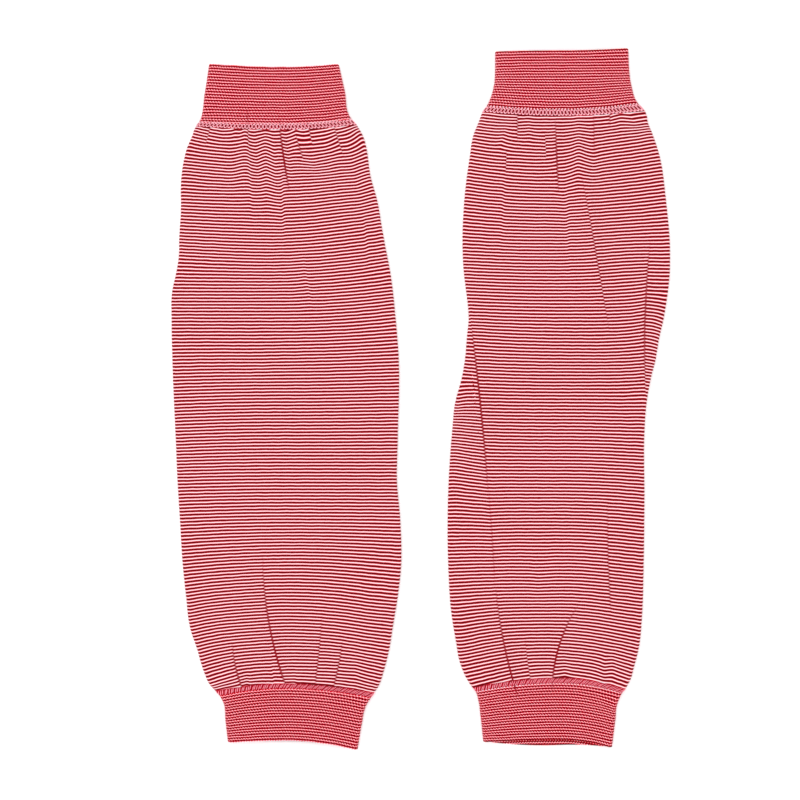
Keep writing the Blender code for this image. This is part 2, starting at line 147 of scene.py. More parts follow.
LEFT_SLEEVE = Sleeve(
    name="left",
    middle_x=-79.0,
    cuts=Cuts(194.0, 161.0, 157.5, -166.5, -169.5, -199.5),
    back_reach=0.6,
    sections=LEFT_SECTIONS,
    upper_gathers=(
        Fold(158.0, 140.0, -120.5, -121.0, -122.0, 0.9, 4.0, 4.0),
        Fold(158.0, 148.0, -111.0, -111.0, -111.5, 0.7, 3.0, 3.0),
        Fold(158.0, 108.0, -101.0, -100.5, -97.5, 1.7, 6.5, 2.6),
        Fold(158.0, 114.0, -90.0, -91.0, -89.0, 0.9, 4.0, 4.0),
        Fold(157.0, 118.0, -82.0, -80.0, -75.0, 1.8, 5.0, 2.5),
        Fold(158.0, 120.0, -71.5, -71.0, -68.0, 1.4, 4.0, 3.0),
        Fold(158.0, 145.0, -64.5, -64.0, -62.0, 0.9, 3.0, 2.6),
        Fold(158.0, 140.0, -51.5, -48.0, -44.0, 1.6, 4.0, 3.0),
        Fold(158.0, 96.0, -43.0, -36.0, -30.5, 1.0, 5.0, 4.0),
    ),
    creases=(
        Fold(120.0, 90.0, -82.5, -80.0, -78.0, 0.8, 6.0, 4.0),
        Fold(86.0, 46.0, -69.5, -66.0, -60.0, 0.7, 8.0, 5.0),
        Fold(82.0, 60.0, -138.0, -139.0, -141.0, 0.6, 3.0, 5.0),
        Fold(-80.0, -112.0, -106.0, -105.5, -105.5, 0.5, 6.0, 4.0),
    ),
    lower_gathers=(
        Fold(-144.0, -167.0, -110.0, -107.5, -104.5, 1.3, 5.0, 2.6),
        Fold(-100.0, -167.0, -92.5, -87.5, -80.5, 1.8, 6.0, 2.6),
        Fold(-155.0, -167.0, -71.0, -71.0, -71.0, 0.7, 3.0, 3.0),
        Fold(-125.0, -167.0, -57.5, -59.5, -62.0, 1.2, 2.6, 5.0),
        Fold(-139.0, -167.0, -45.0, -48.5, -51.5, 1.5, 2.6, 5.0),
        Fold(-150.0, -170.0, -33.0, -35.0, -37.0, 0.8, 3.0, 4.0),
    ),
    drags=(
        # Slow drifts of the rows, over the upper left and down to the lower cuff.
        Drag(165.0, 10.0, -125.0, -120.0, -110.0, 0.0, -2.3, 80.0),
        Drag(50.0, -172.0, -85.0, -85.0, -85.0, 0.4, 0.5, 200.0),
        Drag(-65.0, -135.0, -60.0, -60.0, -60.0, 0.45, 0.5, 40.0),
        Drag(165.0, 120.0, -114.0, -118.0, -120.0, 0.0, -1.6, 16.0),
        Drag(125.0, 50.0, -93.0, -90.0, -88.0, 0.4, -0.8, 22.0),
        Drag(10.0, -172.0, -70.0, -70.0, -72.0, 1.0, 2.3, 140.0),
        Drag(-85.0, -175.0, -126.0, -120.0, -113.0, 1.0, 3.6, 30.0),
        Drag(-85.0, -165.0, -30.0, -30.0, -34.0, 0.5, -1.0, 14.0),
        Drag(50.0, 0.0, -97.0, -98.0, -99.0, 0.5, -0.5, 16.0),
        Drag(50.0, -30.0, -28.0, -26.0, -22.0, 0.5, 0.3, 20.0),
        Drag(95.0, 45.0, -68.5, -66.0, -61.0, 0.6, 0.4, 4.5, -0.9),
        Drag(115.0, 70.0, -33.0, -31.5, -29.0, 0.4, 0.0, 5.0, 1.0),
        # Gathers under the upper linking row.
        Drag(168.0, 140.0, -101.0, -100.5, -100.0, 0.0, 0.2, 6.0, -1.5, 0.4),
        Drag(168.0, 90.0, -100.5, -99.5, -97.0, 0.36, 0.2, 6.0, -1.5),
        Drag(162.0, 118.0, -104.0, -104.0, -103.0, 0.6, 0.9, 5.0),
        Drag(172.0, 95.0, -91.0, -90.0, -89.0, 0.4, 1.3, 2.6),
        Drag(166.0, 120.0, -82.5, -80.0, -76.0, 0.6, 0.2, 8.0, 1.9, 1.0),
        Drag(148.0, 84.0, -81.0, -80.5, -78.5, 0.5, -0.7, 6.0, 1.7),
        Drag(156.0, 138.0, -73.0, -70.5, -67.5, 0.5, -0.3, 4.5, -1.8, 0.45),
        Drag(172.0, 140.0, -74.0, -72.5, -71.0, 0.3, 1.5, 2.2),
        Drag(166.0, 146.0, -66.5, -64.5, -62.5, 0.4, 0.3, 4.0, -1.5, 0.35),
        Drag(156.0, 128.0, -65.5, -63.5, -59.0, 0.6, -1.5, 5.0),
        Drag(160.0, 120.0, -58.0, -55.0, -53.0, 0.3, -0.9, 6.0),
        Drag(160.0, 130.0, -48.0, -47.0, -47.0, 0.3, 0.8, 4.0),
        Drag(160.0, 96.0, -46.0, -38.0, -32.0, 0.4, -1.3, 5.0),
        Drag(165.0, 136.0, -36.0, -33.0, -29.0, 0.3, 4.2, 5.0),
        Drag(165.0, 138.0, -137.0, -136.0, -136.0, 0.4, 1.2, 6.0),
        Drag(147.0, 116.0, -137.0, -136.0, -137.0, 0.5, 0.7, 6.0),
        Drag(160.0, 116.0, -110.0, -110.0, -113.0, 0.5, -1.1, 5.0),
        Drag(168.0, 112.0, -97.5, -95.5, -92.5, 0.5, -1.1, 2.6),
        Drag(168.0, 110.0, -86.0, -85.0, -83.0, 0.5, -1.2, 2.6),
        Drag(170.0, 120.0, -79.5, -77.5, -73.0, 0.5, -1.1, 2.4),
        Drag(130.0, 85.0, -50.0, -50.0, -52.0, 0.5, 0.5, 14.0),
        Drag(164.0, 140.0, -51.5, -48.0, -44.0, 0.5, 0.3, 4.0, -1.2, 0.35),
        Drag(166.0, 146.0, -121.5, -123.5, -126.5, 0.4, 0.0, 5.0, 1.4, 0.3),
        Drag(168.0, 148.0, -107.5, -108.0, -109.0, 0.4, 1.0, 1.8),
        Drag(168.0, 146.0, -102.8, -102.6, -102.4, 0.4, 1.1, 1.8),
        # Creases above the lower linking row.
        Drag(-88.0, -172.0, -92.0, -88.5, -77.0, 0.8, 0.1, 12.0, -2.6, 1.0),
        Drag(-140.0, -172.0, -87.5, -86.5, -85.0, 0.7, 0.0, 2.0, 1.1),
        Drag(-140.0, -172.0, -110.0, -108.0, -103.0, 0.75, 0.4, 5.0, -1.6, 0.8),
        Drag(-122.0, -172.0, -57.0, -59.0, -62.0, 0.7, 0.2, 6.0, -0.8, 0.45),
        Drag(-138.0, -172.0, -45.0, -47.5, -51.5, 0.7, 0.4, 6.0, -1.2, 0.6),
        # Small pleats right at the lower linking row.
        Drag(-155.0, -175.0, -100.8, -100.6, -100.4, 0.6, 0.4, 2.5, -1.3),
        Drag(-158.0, -174.0, -73.0, -72.8, -72.6, 0.6, 0.3, 2.5, -1.0),
        Drag(-145.0, -174.0, -38.0, -37.5, -36.5, 0.6, 0.7, 3.0),
    ),
)

RIGHT_SLEEVE = Sleeve(
    name="right",
    middle_x=82.0,
    cuts=Cuts(203.5, 169.5, 165.5, -163.0, -166.5, -199.0),
    back_reach=3.5,
    sections=RIGHT_SECTIONS,
    upper_gathers=(
        Fold(167.0, 146.0, 45.0, 43.0, 41.0, 0.8, 4.0, 4.0),
        Fold(167.0, 148.0, 55.5, 56.5, 56.5, 1.5, 4.5, 2.6),
        Fold(166.0, 142.0, 64.5, 64.5, 65.0, 0.7, 4.0, 4.0),
        Fold(166.0, 138.0, 72.5, 73.5, 74.5, 1.1, 2.6, 3.5),
        Fold(166.0, 120.0, 79.0, 80.5, 82.0, 1.6, 4.0, 2.6),
        Fold(166.0, 112.0, 92.5, 93.0, 89.0, 1.3, 4.0, 4.0),
        Fold(166.0, 140.0, 102.0, 102.5, 103.0, 0.8, 3.0, 3.0),
        Fold(167.0, 152.0, 111.0, 112.0, 113.5, 1.3, 3.0, 3.0),
        Fold(168.0, 150.0, 121.0, 123.0, 126.0, 1.5, 5.0, 3.5),
    ),
    creases=(
        Fold(150.0, 96.0, 51.0, 48.5, 46.5, 0.9, 6.0, 4.0),
        Fold(148.0, 38.0, 94.5, 102.5, 111.5, 1.6, 6.0, 2.6),
        Fold(76.0, 44.0, 135.0, 132.0, 132.0, 1.7, 5.0, 2.4),
        Fold(42.0, -2.0, 132.5, 134.0, 131.5, 0.6, 5.0, 2.6),
        Fold(52.0, -40.0, 28.5, 34.5, 40.5, 1.4, 2.6, 6.0),
        Fold(28.0, -6.0, 26.0, 24.0, 23.5, 0.6, 2.6, 4.0),
        Fold(-34.0, -108.0, 40.0, 42.0, 44.0, 0.5, 6.0, 4.0),
        Fold(-48.0, -126.0, 110.0, 110.0, 112.5, 0.5, 4.0, 6.0),
    ),
    lower_gathers=(
        Fold(-150.0, -164.0, 40.0, 42.0, 44.0, 0.7, 4.0, 3.0),
        Fold(-100.0, -164.0, 43.5, 47.5, 55.5, 2.0, 6.0, 2.6),
        Fold(-138.0, -163.0, 61.0, 63.0, 65.5, 0.9, 3.0, 4.0),
        Fold(-120.0, -163.0, 93.0, 82.0, 78.0, 1.8, 2.6, 5.0),
        Fold(-145.0, -163.0, 108.0, 106.0, 104.5, 1.1, 3.0, 4.0),
    ),
    drags=(
        # Slow drifts of the rows.
        Drag(175.0, 90.0, 65.0, 65.0, 65.0, 0.0, -1.6, 45.0),
        Drag(160.0, 60.0, 65.0, 62.0, 60.0, 0.45, -1.2, 30.0),
        Drag(110.0, 50.0, 125.0, 125.0, 125.0, 0.5, 0.8, 14.0),
        Drag(55.0, 10.0, 105.0, 105.0, 105.0, 0.5, -0.6, 25.0),
        Drag(35.0, -45.0, 131.0, 130.0, 129.0, 0.4, 0.7, 6.0),
        Drag(-50.0, -165.0, 118.0, 118.0, 116.0, 0.6, -1.3, 20.0),
        Drag(-70.0, -135.0, 70.0, 70.0, 72.0, 0.5, -0.7, 8.0),
        # Gathers under the upper linking row.
        Drag(168.0, 150.0, 57.0, 57.0, 57.0, 0.4, 0.0, 5.0, -1.4, 0.45),
        Drag(147.0, 130.0, 50.8, 50.4, 50.0, 0.5, 0.0, 4.0, -1.1, 0.3),
        Drag(142.0, 80.0, 50.0, 48.5, 47.2, 0.4, 0.0, 6.0, -1.0),
        Drag(166.0, 140.0, 51.5, 48.5, 45.0, 0.5, 1.1, 2.4),
        Drag(158.0, 138.0, 73.0, 73.5, 74.0, 0.5, 0.0, 5.0, 1.0, 0.2),
        Drag(165.0, 118.0, 79.0, 80.0, 81.3, 0.5, 0.4, 5.0, -1.8, 0.8),
        Drag(160.0, 85.0, 84.0, 84.0, 85.0, 0.5, -0.6, 4.0),
        Drag(170.0, 112.0, 93.0, 92.5, 92.5, 0.5, 1.9, 3.4),
        Drag(168.0, 116.0, 100.0, 101.5, 102.5, 0.5, -1.2, 4.0),
        Drag(172.0, 140.0, 101.6, 101.8, 102.0, 0.5, 0.0, 3.0, 0.2, 0.35),
        Drag(137.0, 32.0, 93.5, 103.0, 112.0, 0.5, -0.1, 7.0, -1.3, 0.5),
        Drag(140.0, 60.0, 86.0, 86.5, 88.0, 0.45, 0.0, 5.0, 1.0),
        Drag(174.0, 158.0, 111.0, 111.0, 110.8, 0.5, -0.4, 3.0, -1.0, 0.45),
        Drag(172.0, 150.0, 117.0, 117.5, 118.0, 0.4, 0.9, 4.0),
        Drag(172.0, 156.0, 120.0, 124.0, 128.0, 0.5, -0.6, 2.5),
        Drag(168.0, 146.0, 63.5, 63.5, 63.5, 0.5, 0.6, 2.4),
        # The crease by the right edge, with its lap.
        Drag(95.0, -12.0, 135.0, 131.5, 133.0, 0.42, 1.2, 8.0, -2.4, 0.8),
        Drag(70.0, -10.0, 144.0, 144.0, 141.0, 0.45, -4.2, 5.0),
        # The lap on the left side, and the soft crease that goes on from it.
        Drag(62.0, -62.0, 27.5, 35.0, 40.5, 0.5, -0.6, 20.0, 1.6, 0.95),
        Drag(16.0, -16.0, 22.5, 22.0, 20.0, 0.5, -1.8, 4.0),
        Drag(-45.0, -112.0, 39.5, 42.0, 44.0, 0.6, -0.4, 8.0, 0.2, 0.35),
        Drag(-5.0, -85.0, 22.0, 20.0, 22.0, 0.4, 1.9, 9.0),
        Drag(-20.0, -100.0, 40.0, 41.5, 43.5, 0.3, -0.5, 6.0),
        # Creases above the lower linking row.
        Drag(-105.0, -175.0, 44.0, 48.5, 57.5, 0.9, 1.3, 18.0, -2.4, 1.0),
        Drag(-105.0, -165.0, 24.0, 26.0, 28.0, 0.6, -1.0, 8.0),
        Drag(-50.0, -128.0, 110.0, 110.0, 112.0, 0.75, 0.0, 6.0, -0.6, 0.45),
        Drag(-118.0, -173.0, 94.0, 81.0, 77.5, 0.6, 0.1, 10.0, 1.3, 1.0),
        Drag(-138.0, -170.0, 61.5, 63.0, 65.8, 0.6, 0.2, 6.0, -0.9, 0.3),
        # Small pleats right at the lower linking row.
        Drag(-146.0, -173.0, 84.0, 84.5, 84.0, 0.6, 0.9, 2.6),
        Drag(-140.0, -172.0, 108.5, 108.0, 107.0, 0.6, -1.0, 2.6),
        Drag(-140.0, -172.0, 113.5, 112.8, 111.8, 0.6, 0.8, 3.0),
    ),
)

# The cloth's wall, the room between its two layers, the gap at each linking row, and a rim's bulge.
JERSEY_WALL = 1.2
LAYER_GAP = 0.4
SEAM_GAP = 0.3
RIM_BULGE = 0.35

# How many faces make up a ring and a length of wall.
RIM_ROWS = 3
SIDE_COLUMNS = 8
JERSEY_COLUMNS = 300
JERSEY_UNDER_COLUMNS = 120
JERSEY_ROWS = 132
JERSEY_INNER_ROWS = 26

# The form of the cloth, as in the solids: how rows bend, how folds fade and how the seams hold them.
ROW_BEND = 2
SIDE_FADE = 8
CREASE_FADE = 0.8
INNER_SHARE = 0.5
SEAM_PINCH = 0.45
SEAM_PINCH_LENGTH = 6.0
MOUTH_LENGTH = 14.0
BACK_FADE = 2

# The under layer has soft creases of its own. They are the upper ones, seen from below and much shallower.
UNDER_DEPTH = 0.3
UNDER_DRAG = 0.8

# How far from its line a lap is drawn sharp, how deep and wide its line is pressed in, half the width of
# the cut through the rows, and how far from the line the painted shadow in its tight is darkest and ends.
# A lap too faint to see isn't drawn, and none reaches round the sides. Then comes the dark red painted as
# that shadow. SOFT_STEP is half the width of a soft step.
LAP_REACH = 3.0
LAP_GROOVE = 0.5
LAP_WIDTH = 0.7
LAP_CUT = 0.1
LAP_TIGHT = 0.2
LAP_TIGHT_END = 0.9
LAP_FAINT = 0.01
LAP_SIDE_FADE = 3
LAP_SHADOW_RED = "#8C0012"
LAP_MARKS = ("lap_side", "lap_jump", "lap_shade")
SOFT_STEP = 1.2

# The parts of a ring, in turns: the upper layer up to 1, the right side to 2, the under layer back to 3 and
# the left side to 4. The parts of a way along the wall: outside down to 1, round the lower rim to 2, inside
# back up to 3 and round the upper rim to 4. These give each part its share of the map for baked looks.
BAKE_TURNS = (0.0, 0.48, 0.5, 0.98, 1.0)
BAKE_WAYS = (0.0, 0.9, 0.92, 0.98, 1.0)

# The distance round a body at the ends of a ring's four parts, in whole wales of 0.66 mm.
JERSEY_WALE = 0.66
JERSEY_AROUND = (0.0, 132.0, 136.62, 268.62, 273.24)

# The spun cotton: in every mm, how many waves its rows stray in and how many specks of colour it has, how
# light the darkest and the lightest specks are, and how its hollows sink. Then how matt and downy it is.
STRAY_WAVES = 0.16
SPECKS = 1.7
SPECK_LIGHT = (0.78, 0.9)
HOLLOW_SINK = 3.0
KNIT_BUMP = 0.5
KNIT_ROUGHNESS = 0.9
COTTON_SPECULAR = 0.06
COTTON_SHEEN = 0.08
COTTON_SHEEN_ROUGHNESS = 0.5


def section_at(sections, courses):
    """Left x and y and right x and y of the rows at these courses, on smooth curves through the table."""
    table = np.array(sections)
    step = np.diff(table[:, 0])
    slope = np.diff(table, axis=0) / step[:, None]
    before, after = step[:-1, None], step[1:, None]
    bend = (slope[:-1] * after + slope[1:] * before) / (before + after)
    tangent = np.concatenate([slope[:1], bend, slope[-1:]])
    i = np.clip(np.searchsorted(-table[:, 0], -courses) - 1, 0, len(table) - 2)
    t = ((courses - table[i, 0]) / step[i])[:, None]
    width = step[i][:, None]
    rows = table[i] * (1 + 2 * t) * (1 - t) ** 2 + tangent[i] * width * t * (1 - t) ** 2
    rows += table[i + 1] * t * t * (3 - 2 * t) + tangent[i + 1] * width * t * t * (t - 1)
    return rows[:, 1], rows[:, 2], rows[:, 3], rows[:, 4]


def row_y(sleeve, row, courses, x):
    """Where the knitted row lies at x. It is flat on the middle line and bends towards each side."""
    left_x, left_y, right_x, right_y = row
    on_left = x < sleeve.middle_x
    side_x = np.where(on_left, left_x, right_x)
    side_y = np.where(on_left, left_y, right_y)
    share = np.abs((x - sleeve.middle_x) / (side_x - sleeve.middle_x))
    return courses + (side_y - courses) * share**ROW_BEND


def line_x(line, t):
    """The x of a fold or a drag, t being 0 at its top and 1 at its bottom."""
    top = line.top_x * (1 - t) * (1 - 2 * t)
    middle = line.middle_x * 4 * t * (1 - t)
    bottom = line.bottom_x * t * (2 * t - 1)
    return top + middle + bottom


def fold_height(sleeve, x, y, courses):
    """How far the folds lift the cloth. The linking rows hold them low."""
    height = np.zeros_like(x)
    kinds = (
        (sleeve.upper_gathers, lambda t: np.cos(np.pi * t / 2) ** 2),
        (sleeve.creases, lambda t: np.sin(np.pi * t) ** CREASE_FADE),
        (sleeve.lower_gathers, lambda t: np.sin(np.pi * t / 2) ** 2),
    )
    for folds, fade in kinds:
        for fold in folds:
            t = np.clip((fold.top_y - y) / (fold.top_y - fold.bottom_y), 0, 1)
            across = x - line_x(fold, t)
            reach = np.where(across < 0, fold.left_reach, fold.right_reach)
            height += fold.height * fade(t) * np.exp(-((across / reach) ** 2))
    from_seam = np.minimum(sleeve.cuts.upper_band - courses, courses - sleeve.cuts.lower_band)
    held = np.clip(from_seam / SEAM_PINCH_LENGTH, 0, 1)
    return height * (SEAM_PINCH + (1 - SEAM_PINCH) * held)


def row_pull(sleeve, x, y):
    """How far the rows are pulled up at a point, and how the nearest lap cuts them.

    The last three numbers are the way to that lap, half of the jump of the rows across it and its shade.
    """
    pull = np.zeros_like(x)
    lap_side = np.full_like(x, LAP_REACH)
    lap_jump = np.zeros_like(x)
    lap_shade = np.zeros_like(x)
    for drag in sleeve.drags:
        t = np.clip((drag.top_y - y) / (drag.top_y - drag.bottom_y), 0, 1)
        run = np.maximum(np.where(t < drag.peak, drag.peak, 1 - drag.peak), 0.001)
        strength = np.cos(np.pi / 2 * np.abs(t - drag.peak) / run) ** 2
        across = x - line_x(drag, t)
        if drag.step == 0:
            soft = drag.reach / 2
            pull += strength * np.exp((soft - np.sqrt(across**2 + soft**2)) / drag.reach) * drag.slip
            continue
        near = strength * np.exp(-np.abs(across) / drag.reach)
        jump = near * drag.step / 2
        if drag.shade == 0:
            pull += near * drag.slip + jump * across / np.sqrt(across**2 + SOFT_STEP**2)
            continue
        pull += near * drag.slip + jump * np.where(across < 0, -1, 1)
        nearer = (np.abs(across) < np.abs(lap_side)) & (strength > LAP_FAINT)
        window = np.clip(2 - 2 * np.abs(across) / LAP_REACH, 0, 1)
        past_end = np.maximum(np.maximum(y - drag.top_y, drag.bottom_y - y), 0)
        shown = np.clip(1 - past_end / LAP_REACH, 0, 1) * drag.shade
        lap_side = np.where(nearer, across, lap_side)
        lap_jump = np.where(nearer, jump * window, lap_jump)
        lap_shade = np.where(nearer, np.sqrt(strength) * shown * window, lap_shade)
    return pull, lap_side, lap_jump, lap_shade


def back_slip(sleeve, turn, course):
    """How far the under layer slips down, which it does by the mouth of the lower cuff."""
    from_mouth = np.maximum(0, course - sleeve.cuts.bottom)
    slipped = sleeve.back_reach * np.exp(-from_mouth / MOUTH_LENGTH)
    under = (turn > 2) & (turn < 3)
    return np.where(under, slipped * (1 - np.abs(5 - 2 * turn) ** BACK_FADE), 0)


def place_cloth(sleeve, turn, course, inset, height, relief, under_relief):
    """The points of a wall of cloth, in mm.

    turn says how far round the ring a point lies, and inset how deep in the wall. height is how tall the
    flat tube stands. relief(share, x, y, inset) lifts the upper layer and under_relief the under one, share
    being -1 on the left side and 1 on the right one.
    """
    row = section_at(sleeve.sections, course)
    left_x, _, right_x, _ = row
    radius = height / 2
    left = left_x + radius
    right = right_x - radius
    share = np.select([turn <= 1, turn <= 2, turn <= 3], [2 * turn - 1, 1.0, 5 - 2 * turn], -1.0)
    x = left + (right - left) * (share + 1) / 2
    y = row_y(sleeve, row, course, x)

    upper = turn < 1
    under = (turn > 2) & (turn < 3)
    mirrored = 2 * sleeve.middle_x - x
    back = back_slip(sleeve, turn, course)

    upper_z = height - inset + relief(share, x, y, inset)
    under_z = inset + under_relief(share, mirrored, y, inset)
    angle = np.pi * np.select([turn <= 2, turn <= 3], [turn - 1, 1.0], 4 - turn)
    on_side = ~(upper | under)
    x = x + np.where(on_side, np.sign(share) * (radius - inset) * np.sin(angle), 0)
    z = np.select([upper, under], [upper_z, under_z], radius + (radius - inset) * np.cos(angle))
    return np.stack([x, y - back, z], axis=1)


def knit_rows(sleeve, turn, points):
    """What row_pull gives, all round a tube.

    Under it the folds are the upper ones, mirrored and shallower, and they fade at its sides.
    """
    x, y = points[:, 0], points[:, 1]
    to_side = np.clip(np.abs(np.where(turn > 2, 5 - 2 * turn, 2 * turn - 1)), 0, 1) ** SIDE_FADE
    under = (turn > 2) & (turn < 3)
    upper_pull, upper_side, upper_jump, upper_shade = row_pull(sleeve, x, y)
    under_pull, under_side, under_jump, under_shade = row_pull(sleeve, 2 * sleeve.middle_x - x, y)
    fade = UNDER_DRAG * (1 - to_side)
    return (
        np.where(under, under_pull * fade + upper_pull * to_side, upper_pull),
        np.where(under, under_side, upper_side),
        np.where(under, under_jump * fade, upper_jump),
        np.where(under, under_shade * fade, upper_shade) * (1 - to_side**LAP_SIDE_FADE),
    )


def in_quarters(*counts):
    """The marks of a grid from 0 to 4, with this many steps in each of its four parts."""
    parts = [np.linspace(i, i + 1, count + 1)[:-1] for i, count in enumerate(counts)]
    return np.append(np.concatenate(parts), 4.0)


def make_cloth(name, turns, start, end, wall, out_rows, in_rows, place, knit_map):
    """A closed wall of knitted cloth, made from a flat grid that is wrapped round the sleeve.

    turns gives the grid's columns and start and end the courses of its ends. place(turn, course, inset)
    gives its points in mm. knit_map(turn, course, points) gives the way round the tube and the row, for the
    knit map, and the three marks of the nearest lap.
    """
    ways = in_quarters(out_rows, RIM_ROWS, in_rows, RIM_ROWS)
    bm = bmesh.new()
    bmesh.ops.create_grid(bm, x_segments=len(turns) - 1, y_segments=len(ways) - 1, size=1)
    mesh = bpy.data.meshes.new(name)
    bm.to_mesh(mesh)

    flat = np.empty(len(mesh.vertices) * 3, np.float32)
    mesh.vertices.foreach_get("co", flat)
    grid = flat.reshape(-1, 3).astype(float)
    turn = turns[np.rint((grid[:, 0] + 1) / 2 * (len(turns) - 1)).astype(int)]
    way = ways[np.rint((1 - grid[:, 1]) / 2 * (len(ways) - 1)).astype(int)]
    along = np.select([way <= 1, way <= 2, way <= 3], [way, 1.0, 3 - way], 0.0)
    rims = [0.0, np.sin(np.pi * (way - 1)), 0.0]
    bulge = np.select([way <= 1, way <= 2, way <= 3], rims, -np.sin(np.pi * (way - 3)))
    course = start + (end - start) * along
    inset = wall * np.select(
        [way <= 1, way <= 2, way <= 3],
        [0.0, (1 - np.cos(np.pi * (way - 1))) / 2, 1.0],
        (1 + np.cos(np.pi * (way - 3))) / 2,
    )
    points = place(turn, course, inset)
    points[:, 1] -= RIM_BULGE * bulge
    mesh.vertices.foreach_set("co", (points * MM).astype(np.float32).ravel())

    corners = np.empty(len(mesh.loops), np.int32)
    mesh.loops.foreach_get("vertex_index", corners)
    around, rows, *lap = knit_map(turn, course, points)
    knit = np.stack([around, rows], axis=1)[corners]
    for mark, values in zip(LAP_MARKS, lap):
        mesh.attributes.new(mark, "FLOAT", "POINT").data.foreach_set("value", values.astype(np.float32))
    bake_u = np.interp(turn, range(5), BAKE_TURNS)
    bake_v = np.interp(way, range(5), BAKE_WAYS)
    for map_name, values in (("Knit", knit), ("OFBake", np.stack([bake_u, bake_v], axis=1)[corners])):
        layer = mesh.uv_layers.new(name=map_name)
        layer.uv.foreach_set("vector", values.astype(np.float32).ravel())
    mesh.uv_layers["Knit"].active_render = True

    bm.clear()
    bm.from_mesh(mesh)
    bmesh.ops.remove_doubles(bm, verts=bm.verts, dist=MM / 1000)
    bmesh.ops.recalc_face_normals(bm, faces=bm.faces)
    bm.to_mesh(mesh)
    bm.free()
    mesh.shade_smooth()
    piece = bpy.data.objects.new(name, mesh)
    bpy.context.collection.objects.link(piece)
    return piece


def linear(code):
    """An sRGB hex colour in linear light, with full alpha."""
    values = [int(code[i : i + 2], 16) / 255 for i in (1, 3, 5)]
    return (*(v / 12.92 if v <= 0.04045 else ((v + 0.055) / 1.055) ** 2.4 for v in values), 1.0)


def add(tree, kind, inputs=(), **settings):
    """Adds a node. inputs are pairs of a socket's name or number and its value, or the output it reads.

    Map Range's sockets are, in turn, the value, the ends of its range, and what these turn into.
    """
    made = tree.nodes.new(kind)
    for name, value in settings.items():
        setattr(made, name, value)
    for socket, value in inputs:
        if isinstance(value, bpy.types.NodeSocket):
            tree.links.new(value, made.inputs[socket])
        else:
            made.inputs[socket].default_value = value
    return made.outputs[0]


